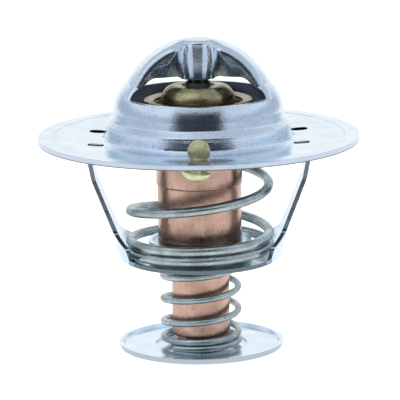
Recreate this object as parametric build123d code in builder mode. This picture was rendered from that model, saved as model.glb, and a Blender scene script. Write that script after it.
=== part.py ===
# Engine thermostat with a wax element, a sprung main valve and a sprung bypass disc.
# Millimetres. The origin is on the axis, on the top face of the flange rim. +Z points up through
# the dome, the two legs of the lower frame stand at +X and -X, and the air vent pin is at -Y.

import os
from math import acos, cos, degrees, hypot, pi, radians, sin, sqrt

from build123d import *

os.makedirs("parts", exist_ok=True)


# Driving sizes of the flange

flange_d = 54.0
sheet = 0.9
rim_width = 2.6
rim_step = 0.05
rim_step_run = 0.15
land_dish = 0.55

# Driving sizes of the dome that is pressed up from the flange
# Each radius above the seat step is the step's own radius less the amount that the wall draws in

seat_step_r = 15.6
seat_step_z = 2.1
skirt_taper = 0.15
skirt_root_fillet = 1.0
inner_root_growth = 0.5
neck_in = 0.9
neck_z = 3.05
shoulder_in = 1.25
shoulder_z = 4.4
waist_in = 2.15
waist_z = 7.1
crown_in = 2.27
crown_centre_z = 3.12
crown_edge_in = 3.7
step_fillet = 0.55

# Driving sizes of the two windows and of the strap between them

sill_z = 6.9
window_corner_in = 2.03
window_corner_rise = 1.3
window_corner_run = 0.7
strap_edge_z = 10.25
strap_edge_x = 7.1
strap_edge_run = 1.7
strap_edge_drop = 0.95
strap_below_sill = 0.9
fold_fillet = 1.3
crease_drop = 1.7
band_lean = 0.06
nose_root_r = 3.0
nose_sink = 0.03
nose_fillet = 0.7
nose_tip_r = 2.45
nose_tip_z = 9.65
nose_lip = 0.5
nose_dip_run = 1.2
nose_dip_in = 0.2

# The strap from the nose to its foot: the angle from the axis along the crown, the angle across it
# to the fold, and how far the wall below the crease leans in for each millimetre that it hangs

strap_plan = [
    (0, 8.5, 0.0),
    (5, 8.5, 0.0),
    (9, 9.9, 0.06),
    (12, 13.0, 0.2),
    (16, 15.6, 0.24),
    (21, 16.1, 0.22),
    (27, 17.0, 0.2),
    (33, 18.1, 0.2),
    (40, 20.2, 0.2),
    (46, 23.0, 0.2),
    (53, 27.7, 0.15),
    (59, 34.2, 0.1),
]
strap_foot_half = 11.5
strap_foot_over = 0.2

# Driving sizes of the piston, the guide and its wiper ring

piston_r = 1.82
piston_tip_chamfer = 0.35
piston_low_z = -14.5
guide_clearance = 0.06
guide_top_z = 8.45
guide_dome_in = 1.13
guide_dome_fillet = 2.2
guide_flange = 1.3
guide_trench = 0.9
guide_trench_gap = 0.12
wiper_r = 2.1
wiper_seat_r = 2.8
wiper_seat_depth = 0.7
wiper_lip = 0.5
wiper_bevel = 0.1

# Driving sizes of the wax cup

cup_wall = 0.9
barrel_r = 7.05
barrel_end_z = -20.4
barrel_fillet = 0.9
band_over = 0.2
band_end_z = -8.4
band_blend = 0.1
nose_cup_r = 4.86
nose_cup_end_z = -34.9
nose_cup_fillet = 1.0
cup_root_fillet = 0.3
cup_inner_fillet = 0.2
rim_over = 2.05
rim_wall = 0.65
rim_hole_over = 0.2
rim_crest_in = 0.8
rim_crest = 0.2
rim_crest_fillet = 0.6
rim_edge_fillet = 0.5
rim_lip_drop = 0.1
rim_lip_fillet = 0.2
rim_inner_fillet = 0.02
boot_flange = 0.7
rim_top_z = 5.95
flare_fillet = 0.4

# Driving sizes of the rubber boot, the wax and the washer above the boot

boot_clearance = 0.3
boot_wall = 1.4
boot_end_gap = 0.8
boot_end_wall = 1.6
boot_end_taper = 0.6
wax_gap = 0.02
wax_chamfer = 0.4
wax_shoulder_gap = 0.2
washer_r = 3.6
washer_thickness = 0.5

# Driving sizes of the main valve

valve_sheet = 0.8
valve_hole_gap = 0.05
valve_collar = 1.2
valve_collar_wall = 0.7
valve_seat_gap = 0.12
valve_cone_clear = 0.3

# Driving sizes of the main spring

main_wire = 1.65
main_coil_r = 12.5
main_pitch = 8.6
main_end_pitch = 1.75
main_low_turns = 1.35
main_high_turns = 0.9
main_ramp_turns = 0.3
main_start = 180.0

# Driving sizes of the lower frame

frame_sheet = 0.7
seat_top_z = -20.6
collar_gap = 0.75
collar_top_z = -17.9
collar_root_fillet = 0.63
seat_ring_over = 0.25
seat_wall_over = 0.8
seat_wall_angle = 62.0
seat_wall_root = 2.5
leg_low_over = 1.25
leg_low_z = -16.1
leg_bend_in = 1.0
leg_bend_z = -7.1
leg_top_over = 3.2
leg_half_low = 3.7
leg_half_high = 3.2
leg_foot_fillet = 1.1
leg_low_fillet = 4.0
leg_bend_fillet = 6.0
leg_top_fillet = 0.8
wall_half = 7.2
wall_corner_z = -18.2
wall_corner_fillet = 0.8
wall_root_in = 1.4
wall_root_rise = 1.3
ear_half = 4.75
ear_in = 0.15
ear_shoulder = 0.04
ear_shoulder_fillet = 0.05
leg_side_fillet = 2.0

# Driving sizes of the slits in the flange and of the tongues that clinch the frame to it

tongue_out = 1.35
tongue_width = 2.1
tongue_sheet = 0.65
tongue_bend = 0.55
tongue_gap = 0.1
tongue_hook = 0.8
slit_length = 2.7
slit_width = 2.4
slit_corner_fillet = 0.9

# Driving sizes of the bypass valve

stem_r = 1.4
stem_head = 0.35
bypass_sheet = 0.6
bypass_r = 13.9
bypass_lip = 0.5
bypass_lip_run = 0.35
bypass_edge_run = 0.5
bypass_edge_rise = 0.25
bypass_edge_in = 0.1
bypass_plate_z = -35.9
bypass_seat_over = 0.7
bypass_seat_z = -36.3
bypass_seat_run = 0.15
bypass_seat_step = 0.3
bypass_hole_gap = 0.2
clip_over = 1.14
clip_thickness = 0.3
clip_gap = 0.15

# Driving sizes of the bypass spring

bypass_wire = 1.13
bypass_coil_in = 0.15
bypass_pitch = 3.9
bypass_end_pitch = 1.15
bypass_low_turns = 1.05
bypass_high_turns = 0.6
bypass_ramp_turns = 0.5
bypass_start = 225.0

# Points that a coil is drawn through in each turn

coil_points_per_turn = 12

# Driving sizes of the air vent pin

vent_inset = 4.0
vent_hole_r = 1.5
vent_coin_r = 1.85
vent_coin_thickness = 1.0
vent_shaft_r = 0.8
vent_shaft_root = 0.2
vent_shaft_depth = 0.6
vent_bowl_r = 2.33
vent_bowl_depth = 1.7
vent_bowl_cheek = 0.35
vent_length = 5.05
vent_tilt = 9.0
vent_gap = 0.1

# How far a cutting tool reaches past the face that it starts from

over = 5.0


# Sizes that follow from the ones above

flange_r = flange_d / 2
rim_inner_r = flange_r - rim_width
skirt_r = seat_step_r + skirt_taper
neck_r = seat_step_r - neck_in
shoulder_r = seat_step_r - shoulder_in
waist_r = seat_step_r - waist_in
crown_r = seat_step_r - crown_in
crown_edge_r = seat_step_r - crown_edge_in
crown_top_z = crown_centre_z + crown_r
crown_angle = degrees(acos(crown_edge_r / crown_r))
window_corner_x = crown_r - window_corner_in
strap_high_z = crown_top_z + over
strap_low_z = sill_z - strap_below_sill
land_slope = land_dish / (rim_inner_r - skirt_r)
land_root_z = -rim_step - land_dish
ear_top_z = -rim_step - (rim_inner_r - skirt_r - inner_root_growth) * land_slope - sheet
ear_under_z = ear_top_z - frame_sheet
band_r = barrel_r + band_over
rim_r = band_r + rim_over
rim_hole_r = band_r + rim_hole_over
guide_dome_r = band_r - guide_dome_in
guide_flange_z = rim_top_z - rim_wall
guide_flange_r = rim_r - rim_wall
boot_top_z = guide_flange_z - guide_flange
chamber_floor_z = boot_top_z - boot_flange
flare_under_z = chamber_floor_z - rim_wall
valve_under_z = flare_under_z - valve_sheet
seat_under_z = seat_top_z - frame_sheet
collar_hole_r = band_r + collar_gap
seat_ring_r = main_coil_r + seat_ring_over
seat_wall_r = main_coil_r + seat_wall_over
leg_low_x = seat_wall_r + leg_low_over
leg_top_x = skirt_r + leg_top_over
leg_bend_x = leg_top_x - leg_bend_in
ear_inner_x = skirt_r - ear_in
tongue_x = skirt_r + tongue_out
boot_end_z = piston_low_z - boot_end_gap
boot_bore_r = piston_r + boot_clearance
boot_r = boot_bore_r + boot_wall
bore_r = piston_r + guide_clearance
piston_top_z = crown_centre_z + sqrt((crown_r - sheet) ** 2 - piston_r**2)
bypass_coil_r = barrel_r - bypass_coil_in
bypass_seat_r = bypass_coil_r + bypass_seat_over
bypass_hole_r = nose_cup_r + bypass_hole_gap
clip_r = nose_cup_r + clip_over
vent_y = vent_inset - rim_inner_r


# Height of the top of the land, which is dished a little from the rim down to the skirt

def land_level(radius):
    return -rim_step - (rim_inner_r - radius) * land_slope


# Wall profile of the pressing, drawn the given depth inside its outer skin

def wall_lines(depth, root_fillet, reach):
    radius = crown_r - depth
    edge_x = radius * cos(radians(crown_angle))
    edge_z = crown_centre_z + radius * sin(radians(crown_angle))
    CenterArc((0, crown_centre_z), radius, crown_angle, 90 - crown_angle)
    flank = ThreePointArc(
        (edge_x, edge_z),
        (waist_r - depth, waist_z),
        (shoulder_r - depth, shoulder_z),
    )
    foot = FilletPolyline(
        flank @ 1,
        (neck_r - depth, neck_z),
        (seat_step_r - depth, seat_step_z),
        (skirt_r - depth, land_level(skirt_r - depth) - depth),
        (reach, land_level(reach) - depth),
        radius=[step_fillet, step_fillet, root_fillet],
    )
    return foot @ 1


# Height of the fold on the crown at a row of the strap's plan, or of the sill past its foot

def fold_level(row):
    along, across, lean = row
    off_axis = sin(radians(along)) ** 2 + sin(radians(across)) ** 2
    above_sill = (sill_z - crown_centre_z) ** 2
    return crown_centre_z + sqrt(max(crown_r**2 * (1 - off_axis), above_sill))


# Half width of the strap at a height: the band below the fold, and the facet below the crease

def band_half(row, z):
    return crown_r * sin(radians(row[1])) + (fold_level(row) - z) * band_lean


def facet_half(row, z):
    crease_z = fold_level(row) - crease_drop
    return band_half(row, crease_z) + (z - crease_z) * row[2]


# Solid between the strap's two walls, from a rule that gives the half width at a height

def strap_solid(half_at, inset):
    with BuildPart() as made:
        for z in (strap_low_z, strap_high_z):
            right = []
            for row in strap_plan:
                right.append((crown_r * sin(radians(row[0])), half_at(row, z) - inset))
            right.append((shoulder_r + strap_foot_over, strap_foot_half - inset))
            left = [(-x, y) for x, y in reversed(right[1:])]
            back = left + right
            front = [(x, -y) for x, y in reversed(back)]
            with BuildSketch(Plane.XY.offset(z)):
                with BuildLine():
                    side = Spline(*back)
                    Line(side @ 1, front[0])
                    other = Spline(*front)
                    Line(other @ 1, side @ 0)
                make_face()
        loft(ruled=True)
    return made.part


# Solid turned round the axis from an outline in the XZ plane

def turned(*points):
    with BuildPart() as made:
        with BuildSketch(Plane.XZ):
            with BuildLine():
                Polyline(*points, close=True)
            make_face()
        revolve(axis=Axis.Z)
    return made.part


# Solid inside the wall at the given depth under its outer skin

def wall_solid(depth):
    with BuildPart() as made:
        with BuildSketch(Plane.XZ):
            with BuildLine():
                foot = wall_lines(depth, skirt_root_fillet, rim_inner_r)
                Polyline(
                    foot,
                    (rim_inner_r, land_root_z - over),
                    (0, land_root_z - over),
                    (0, crown_top_z - depth),
                )
            make_face()
        revolve(axis=Axis.Z)
    return made.part


# Flange, dome and strap, pressed and pierced as one sheet

with BuildPart() as above_sill:
    with BuildSketch(Plane.XY.offset(sill_z)):
        Rectangle(flange_d, flange_d)
    extrude(amount=crown_top_z)

# Strap: the crown between two folds, whose walls hang as a band, a crease and a leaning facet

with BuildPart() as strap:
    add(strap_solid(band_half, 0))
    add(wall_solid(0), mode=Mode.INTERSECT)
    fold_edges = []
    for edge in edges().filter_by(GeomType.BSPLINE):
        reaches_up = edge.bounding_box().max.Z > strap_low_z + sheet
        if reaches_up and abs(edge.center().Y) > sheet:
            fold_edges.append(edge)
    fillet(fold_edges, fold_fillet)
    add(strap_solid(facet_half, 0), mode=Mode.INTERSECT)
    add(above_sill.part, mode=Mode.INTERSECT)

strap_hollow = strap_solid(band_half, sheet) & strap_solid(facet_half, sheet)

# Nose: the cone that is drawn down from the middle of the strap to hold the piston

nose_crown_r = crown_r - nose_sink
nose_root_z = crown_centre_z + sqrt(nose_crown_r**2 - nose_root_r**2)

with BuildPart() as nose_form:
    with BuildSketch(Plane.XZ):
        with BuildLine():
            Polyline(
                (0, crown_centre_z + nose_crown_r),
                (0, nose_tip_z),
                (nose_tip_r, nose_tip_z),
                (nose_root_r, nose_root_z),
            )
            RadiusArc(
                (nose_root_r, nose_root_z),
                (0, crown_centre_z + nose_crown_r),
                -nose_crown_r,
            )
        make_face()
        root = vertices().sort_by(Axis.X)[-1]
        fillet(root, nose_fillet)
    revolve(axis=Axis.Z)

nose_hollow = turned(
    (0, nose_tip_z - over),
    (nose_tip_r - nose_lip, nose_tip_z - over),
    (nose_tip_r - nose_lip, nose_tip_z),
    (nose_root_r - sheet, nose_root_z - sheet),
    (nose_root_r - sheet, strap_high_z),
    (0, strap_high_z),
)

with BuildPart() as core_above:
    add(strap_hollow)
    add(nose_hollow)
    add(above_sill.part, mode=Mode.INTERSECT)
    add(wall_solid(sheet), mode=Mode.INTERSECT)

slit_y = ear_half + tongue_gap
tongue_half = tongue_width / 2
tongue_top_z = land_level(hypot(tongue_x - tongue_half, slit_y))
hook_top_z = ear_under_z - tongue_gap / 2
hook_low_z = hook_top_z - tongue_sheet

# Flange and wall up to the sill, with the hole of the air vent pin and the four slits

with BuildPart() as pierced:
    with BuildSketch(Plane.XZ):
        with BuildLine():
            foot = wall_lines(0, skirt_root_fillet, rim_inner_r)
            root_fillet = skirt_root_fillet + inner_root_growth
            inner_foot = wall_lines(sheet, root_fillet, rim_inner_r)
            Polyline(
                foot,
                (rim_inner_r + rim_step_run, 0),
                (flange_r, 0),
                (flange_r, -sheet),
                (rim_inner_r + rim_step_run, -sheet),
                inner_foot,
            )
            Line((0, crown_top_z), (0, crown_top_z - sheet))
        make_face()
    revolve(axis=Axis.Z)
    add(above_sill.part, mode=Mode.SUBTRACT)
    with Locations((0, vent_y, 0)):
        Hole(vent_hole_r, depth=sheet + over)
    for side_x in (-1, 1):
        for side_y in (-1, 1):
            with BuildSketch(Plane.XY.offset(land_root_z - sheet)):
                with Locations((side_x * tongue_x, side_y * (slit_y + slit_width / 2))):
                    Rectangle(slit_length, slit_width)
                fillet(vertices(), slit_corner_fillet)
            extrude(amount=sheet + over, mode=Mode.SUBTRACT)

# Strap and nose above the sill, hollowed from below and cut to their lower edge

with BuildPart() as bridge:
    add(strap.part)
    add(nose_form.part)
    add(core_above.part, mode=Mode.SUBTRACT)
    with BuildSketch(Plane.XZ):
        with BuildLine():
            rise = Spline(
                (window_corner_x, sill_z),
                (window_corner_x - window_corner_run, sill_z + window_corner_rise),
                (strap_edge_x + strap_edge_run, strap_edge_z - strap_edge_drop),
                (strap_edge_x, strap_edge_z),
                tangents=((-0.2, 1), (-1, 0.15)),
            )
            level = Line(rise @ 1, (nose_tip_r + nose_dip_run, strap_edge_z))
            dip = Spline(
                level @ 1,
                (nose_tip_r - nose_dip_in, nose_tip_z),
                tangents=((-1, 0), (-1, 0)),
            )
            Line(dip @ 1, (0, nose_tip_z))
            Line((0, nose_tip_z), (0, sill_z))
            Line((0, sill_z), (window_corner_x, sill_z))
        make_face()
        mirror(about=Plane.YZ)
    extrude(amount=flange_r, both=True, mode=Mode.SUBTRACT)

# The whole pressing, with the tongues that are bent down from the inner edges of the slits

with BuildPart() as flange_bridge:
    add(pierced.part)
    add(bridge.part)
    for side_x in (-1, 1):
        for side_y in (-1, 1):
            with BuildSketch(Plane.YZ.offset(side_x * tongue_x)):
                with BuildLine():
                    Polyline(
                        (side_y * (slit_y + tongue_sheet), tongue_top_z),
                        (side_y * (slit_y + tongue_sheet), hook_low_z),
                        (side_y * (slit_y - tongue_hook), hook_low_z),
                        (side_y * (slit_y - tongue_hook), hook_top_z),
                        (side_y * slit_y, hook_top_z),
                        (side_y * slit_y, tongue_top_z),
                        close=True,
                    )
                make_face()
                top_corners = vertices().group_by(Axis.Y)[-1].sort_by(Axis.X)
                fillet(top_corners[-1] if side_y > 0 else top_corners[0], tongue_bend)
            extrude(amount=tongue_half, both=True)
flange_bridge.part.label = "flange_bridge"
export_step(flange_bridge.part, "parts/flange_bridge.step")


# Lower frame: a pressed pan with two legs whose ears lie under the flange

seat_mid_z = seat_top_z - frame_sheet / 2
ear_mid_z = ear_top_z - frame_sheet / 2

with BuildPart() as leg_blank:
    with BuildSketch(Plane.XZ):
        with BuildLine() as leg_line:
            FilletPolyline(
                (seat_wall_r - seat_wall_root, seat_mid_z),
                (seat_wall_r, seat_mid_z),
                (leg_low_x, leg_low_z),
                (leg_bend_x, leg_bend_z),
                (leg_top_x, ear_mid_z),
                (ear_inner_x, ear_mid_z),
                radius=[leg_foot_fillet, leg_low_fillet, leg_bend_fillet, leg_top_fillet],
            )
        trace(line_width=frame_sheet)
    revolve(axis=Axis.Z, revolution_arc=seat_wall_angle)

with BuildPart() as leg_outline:
    with BuildSketch(Plane.YZ):
        with BuildLine():
            half = FilletPolyline(
                (0, seat_under_z - over),
                (wall_half - wall_root_in, seat_under_z - over),
                (wall_half - wall_root_in, seat_under_z),
                (wall_half, seat_under_z + wall_root_rise),
                (wall_half, wall_corner_z),
                (leg_half_low, leg_low_z),
                (leg_half_high, leg_bend_z),
                (leg_half_high, ear_under_z - ear_shoulder),
                (ear_half, ear_under_z - ear_shoulder),
                (ear_half, ear_top_z + over),
                (0, ear_top_z + over),
                radius=[
                    wall_corner_fillet,
                    wall_corner_fillet,
                    wall_corner_fillet,
                    wall_corner_fillet,
                    wall_corner_fillet,
                    leg_side_fillet,
                    ear_shoulder_fillet,
                    ear_shoulder_fillet,
                    wall_corner_fillet,
                ],
            )
            Line(half @ 1, half @ 0)
        make_face()
        mirror(about=Plane.YZ)
    extrude(amount=flange_r)

with BuildPart() as leg:
    add(leg_blank.part.rotate(Axis.Z, -seat_wall_angle / 2))
    add(leg_outline.part, mode=Mode.INTERSECT)

with BuildPart() as lower_frame:
    with BuildSketch(Plane.XZ):
        with BuildLine():
            Polyline(
                (collar_hole_r, seat_under_z),
                (seat_ring_r, seat_under_z),
                (seat_ring_r, seat_top_z),
                (collar_hole_r + frame_sheet, seat_top_z),
                (collar_hole_r + frame_sheet, collar_top_z),
                (collar_hole_r, collar_top_z),
                close=True,
            )
        make_face()
        fillet(vertices().group_by(Axis.Y)[0].sort_by(Axis.X)[0], collar_root_fillet)
    revolve(axis=Axis.Z)
    add(leg.part)
    add(leg.part.rotate(Axis.Z, 180))
lower_frame.part.label = "lower_frame"
export_step(lower_frame.part, "parts/lower_frame.step")


# Piston, fixed under the crown

with BuildPart() as piston:
    with BuildSketch(Plane.XY.offset(piston_low_z)):
        Circle(piston_r)
    extrude(amount=piston_top_z - piston_low_z)
    chamfer(edges().filter_by(GeomType.CIRCLE), piston_tip_chamfer)
piston.part.label = "piston"
export_step(piston.part, "parts/piston.step")


# Wax cup: one drawn copper can whose rim is rolled over the guide

with BuildPart() as wax_cup:
    with BuildSketch(Plane.XZ):
        with BuildLine():
            outer = FilletPolyline(
                (0, nose_cup_end_z),
                (nose_cup_r, nose_cup_end_z),
                (nose_cup_r, barrel_end_z),
                (barrel_r, barrel_end_z),
                (barrel_r, band_end_z),
                (band_r, band_end_z + band_over),
                (band_r, flare_under_z),
                (rim_r, flare_under_z),
                (rim_r, rim_top_z),
                (rim_r - rim_crest_in, rim_top_z + rim_crest),
                (rim_hole_r, rim_top_z - rim_lip_drop),
                (rim_hole_r, guide_flange_z),
                radius=[
                    nose_cup_fillet,
                    cup_root_fillet,
                    barrel_fillet,
                    band_blend,
                    band_blend,
                    flare_fillet,
                    rim_edge_fillet,
                    rim_edge_fillet,
                    rim_crest_fillet,
                    rim_lip_fillet,
                ],
            )
            inner = FilletPolyline(
                outer @ 1,
                (guide_flange_r, guide_flange_z),
                (guide_flange_r, chamber_floor_z),
                (barrel_r - cup_wall, chamber_floor_z),
                (barrel_r - cup_wall, barrel_end_z + cup_wall),
                (nose_cup_r - cup_wall, barrel_end_z + cup_wall),
                (nose_cup_r - cup_wall, nose_cup_end_z + cup_wall),
                (0, nose_cup_end_z + cup_wall),
                radius=[
                    rim_inner_fillet,
                    rim_inner_fillet,
                    cup_inner_fillet,
                    cup_inner_fillet,
                    cup_inner_fillet,
                    cup_inner_fillet,
                ],
            )
            Line(inner @ 1, outer @ 0)
        make_face()
    revolve(axis=Axis.Z)
wax_cup.part.label = "wax_cup"
export_step(wax_cup.part, "parts/wax_cup.step")


# Guide: a turned brass bush, clamped by the rolled rim, with a trench round its dome

guide_trench_r = rim_hole_r - guide_trench_gap
guide_trench_z = guide_flange_z - guide_trench
wiper_seat_z = guide_top_z - wiper_seat_depth

with BuildPart() as guide_cap:
    with BuildSketch(Plane.XZ):
        with BuildLine():
            Polyline(
                (bore_r, boot_top_z + washer_thickness),
                (washer_r, boot_top_z + washer_thickness),
                (washer_r, boot_top_z),
                (guide_flange_r, boot_top_z),
                (guide_flange_r, guide_flange_z),
                (guide_trench_r, guide_flange_z),
                (guide_trench_r, guide_trench_z),
                (guide_dome_r, guide_trench_z),
                (guide_dome_r, guide_top_z),
                (wiper_seat_r, guide_top_z),
                (wiper_seat_r, wiper_seat_z),
                (bore_r, wiper_seat_z),
                close=True,
            )
        make_face()
        shoulder = vertices().group_by(Axis.Y)[-1].sort_by(Axis.X)[-1]
        fillet(shoulder, guide_dome_fillet)
    revolve(axis=Axis.Z)
guide_cap.part.label = "guide_cap"
export_step(guide_cap.part, "parts/guide_cap.step")


# Wiper ring that keeps grit out of the guide's bore

with BuildPart() as pin_seal:
    with BuildSketch(Plane.XZ):
        with BuildLine():
            Polyline(
                (bore_r, wiper_seat_z),
                (wiper_seat_r, wiper_seat_z),
                (wiper_seat_r, guide_top_z - wiper_bevel),
                (wiper_r, guide_top_z),
                (wiper_r, guide_top_z + wiper_lip),
                (bore_r, guide_top_z + wiper_lip),
                close=True,
            )
        make_face()
    revolve(axis=Axis.Z)
pin_seal.part.label = "pin_seal"
export_step(pin_seal.part, "parts/pin_seal.step")


# Washer that keeps the rubber from creeping into the guide's bore

with BuildPart() as seal_washer:
    with BuildSketch(Plane.XY.offset(boot_top_z)):
        Circle(washer_r)
        Circle(bore_r, mode=Mode.SUBTRACT)
    extrude(amount=washer_thickness)
seal_washer.part.label = "seal_washer"
export_step(seal_washer.part, "parts/seal_washer.step")


# Rubber boot round the piston, clamped by its flange under the guide

boot_low_z = boot_end_z - boot_end_wall

with BuildPart() as rubber_boot:
    with BuildSketch(Plane.XZ):
        with BuildLine():
            Polyline(
                (0, boot_low_z),
                (boot_r - boot_end_taper, boot_low_z),
                (boot_r, boot_end_z),
                (boot_r, chamber_floor_z),
                (guide_flange_r, chamber_floor_z),
                (guide_flange_r, boot_top_z),
                (boot_bore_r, boot_top_z),
                (boot_bore_r, boot_end_z),
                (0, boot_end_z),
                close=True,
            )
        make_face()
    revolve(axis=Axis.Z)
rubber_boot.part.label = "rubber_boot"
export_step(rubber_boot.part, "parts/rubber_boot.step")


# Wax that fills the cup round the boot

well_r = nose_cup_r - cup_wall
well_floor_z = nose_cup_end_z + cup_wall
chamber_r = barrel_r - cup_wall
ledge_z = barrel_end_z + cup_wall

with BuildPart() as wax_charge:
    with BuildSketch(Plane.XZ):
        with BuildLine():
            Polyline(
                (0, well_floor_z + wax_gap),
                (well_r - wax_chamfer, well_floor_z + wax_gap),
                (well_r - wax_gap, well_floor_z + wax_chamfer),
                (well_r - wax_gap, ledge_z + wax_shoulder_gap),
                (chamber_r - wax_shoulder_gap, ledge_z + wax_shoulder_gap),
                (chamber_r - wax_gap, ledge_z + wax_chamfer),
                (chamber_r - wax_gap, chamber_floor_z - wax_gap),
                (boot_r + wax_gap, chamber_floor_z - wax_gap),
                (boot_r + wax_gap, boot_end_z - wax_gap),
                (boot_r - boot_end_taper + wax_gap, boot_low_z - wax_gap),
                (0, boot_low_z - wax_gap),
                close=True,
            )
        make_face()
    revolve(axis=Axis.Z)
wax_charge.part.label = "wax_charge"
export_step(wax_charge.part, "parts/wax_charge.step")


# Main valve: a poppet plate whose coned edge closes on the step inside the dome

seat_slope = (seat_step_r - neck_r) / (neck_z - seat_step_z)
seat_normal = hypot(1, seat_slope)


def seat_line_r(z):
    return seat_step_r - sheet - (z - seat_step_z) * seat_slope


valve_cone_z = max(seat_step_z + valve_cone_clear, valve_under_z)
valve_edge_high = seat_line_r(flare_under_z) - valve_seat_gap * seat_normal
valve_edge_low = seat_line_r(valve_cone_z) - valve_seat_gap * seat_normal
valve_hole_r = band_r + valve_hole_gap
valve_collar_r = valve_hole_r + valve_collar_wall

with BuildPart() as main_valve:
    with BuildSketch(Plane.XZ):
        with BuildLine():
            Polyline(
                (valve_hole_r, flare_under_z - flare_fillet),
                (valve_hole_r + flare_fillet, flare_under_z),
                (valve_edge_high, flare_under_z),
                (valve_edge_low, valve_cone_z),
                (valve_edge_low, valve_under_z),
                (valve_collar_r, valve_under_z),
                (valve_collar_r, valve_under_z - valve_collar),
                (valve_hole_r, valve_under_z - valve_collar),
                close=True,
            )
        make_face()
    revolve(axis=Axis.Z)
main_valve.part.label = "main_valve"
export_step(main_valve.part, "parts/main_valve.step")


# Points along a coil with closed ends, worked out turn by turn

def coil_points(mean_r, low_z, high_z, pitch, end_pitch, low_turns, high_turns, ramp, start):
    end_rise = end_pitch * (low_turns + high_turns)
    ramp_rise = (pitch + end_pitch) * ramp
    active_turns = (high_z - low_z - end_rise - ramp_rise) / pitch
    spans = [
        (low_turns, end_pitch, end_pitch),
        (ramp, end_pitch, pitch),
        (active_turns, pitch, pitch),
        (ramp, pitch, end_pitch),
        (high_turns, end_pitch, end_pitch),
    ]
    total = sum(span[0] for span in spans)
    steps = round(total * coil_points_per_turn)
    points = []
    for step in range(steps + 1):
        turn = total * step / steps
        left = turn
        z = low_z
        for length, first, last in spans:
            part = min(max(left, 0), length)
            z += first * part + (last - first) * part * part / (2 * length)
            left -= length
        angle = radians(start) + 2 * pi * turn
        points.append((mean_r * cos(angle), mean_r * sin(angle), z))
    return points


# Main spring, between the lower frame and the main valve

with BuildPart() as main_spring:
    with BuildLine() as main_coil:
        Spline(
            *coil_points(
                main_coil_r - main_wire / 2,
                seat_top_z + main_wire / 2,
                valve_under_z - main_wire / 2,
                main_pitch,
                main_end_pitch,
                main_low_turns,
                main_high_turns,
                main_ramp_turns,
                main_start,
            )
        )
    with BuildSketch(Plane(main_coil.line @ 0, z_dir=main_coil.line % 0)):
        Circle(main_wire / 2)
    sweep(is_frenet=True)
main_spring.part.label = "main_spring"
export_step(main_spring.part, "parts/main_spring.step")


# Bypass spring, between the cup's shoulder and the bypass disc

with BuildPart() as bypass_spring:
    with BuildLine() as bypass_coil:
        Spline(
            *coil_points(
                bypass_coil_r - bypass_wire / 2,
                bypass_seat_z + bypass_wire / 2,
                barrel_end_z - bypass_wire / 2,
                bypass_pitch,
                bypass_end_pitch,
                bypass_low_turns,
                bypass_high_turns,
                bypass_ramp_turns,
                bypass_start,
            )
        )
    with BuildSketch(Plane(bypass_coil.line @ 0, z_dir=bypass_coil.line % 0)):
        Circle(bypass_wire / 2)
    sweep(is_frenet=True)
bypass_spring.part.label = "bypass_spring"
export_step(bypass_spring.part, "parts/bypass_spring.step")


# Bypass disc: a shallow pan with a turned-up lip and a sunk seat for its spring

plate_under_z = bypass_plate_z - bypass_sheet
seat_floor_under_z = bypass_seat_z - bypass_sheet
clip_top_z = seat_floor_under_z + clip_thickness
sink_r = bypass_seat_r + bypass_sheet
lip_inner_r = bypass_r - bypass_sheet

with BuildPart() as bypass_disc:
    with BuildSketch(Plane.XZ):
        with BuildLine():
            Polyline(
                (bypass_hole_r, bypass_seat_z),
                (bypass_seat_r, bypass_seat_z),
                (bypass_seat_r + bypass_seat_run, bypass_plate_z),
                (lip_inner_r - bypass_lip_run, bypass_plate_z),
                (lip_inner_r, bypass_plate_z + bypass_lip),
                (bypass_r, bypass_plate_z + bypass_lip),
                (bypass_r - bypass_edge_in, plate_under_z + bypass_edge_rise),
                (bypass_r - bypass_edge_run, plate_under_z),
                (sink_r, plate_under_z),
                (sink_r - bypass_seat_step, seat_floor_under_z),
                (clip_r + clip_gap, seat_floor_under_z),
                (clip_r + clip_gap, clip_top_z),
                (bypass_hole_r, clip_top_z),
                close=True,
            )
        make_face()
    revolve(axis=Axis.Z)
bypass_disc.part.label = "bypass_disc"
export_step(bypass_disc.part, "parts/bypass_disc.step")


# Stem under the cup, with a shoulder and a riveted end

with BuildPart() as bypass_stem:
    with BuildSketch(Plane.XZ):
        with BuildLine():
            Polyline(
                (0, seat_floor_under_z),
                (stem_r, seat_floor_under_z),
                (stem_r, clip_top_z),
                (stem_r + stem_head, clip_top_z),
                (stem_r + stem_head, nose_cup_end_z),
                (0, nose_cup_end_z),
                close=True,
            )
        make_face()
    revolve(axis=Axis.Z)
bypass_stem.part.label = "bypass_stem"
export_step(bypass_stem.part, "parts/bypass_stem.step")


# Clip plate on the stem, which holds the bypass disc

with BuildPart() as stem_clip:
    with BuildSketch(Plane.XY.offset(seat_floor_under_z)):
        Circle(clip_r)
        Circle(stem_r, mode=Mode.SUBTRACT)
    extrude(amount=clip_thickness)
stem_clip.part.label = "stem_clip"
export_step(stem_clip.part, "parts/stem_clip.step")


# Air vent pin: coined flat at the top, bowl-headed below, loose and leaning in its hole

coin_z = land_level(-vent_y) + sqrt((vent_coin_r + vent_gap) ** 2 - vent_hole_r**2)
bowl_low_z = coin_z - vent_length
bowl_top_z = bowl_low_z + vent_bowl_depth
belly_rise = vent_bowl_depth - vent_bowl_cheek
belly_r = (vent_bowl_r**2 + belly_rise**2) / (2 * belly_rise)
shaft_low_z = bowl_top_z - vent_shaft_root
shaft_top_z = coin_z - vent_coin_r * vent_shaft_depth

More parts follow.
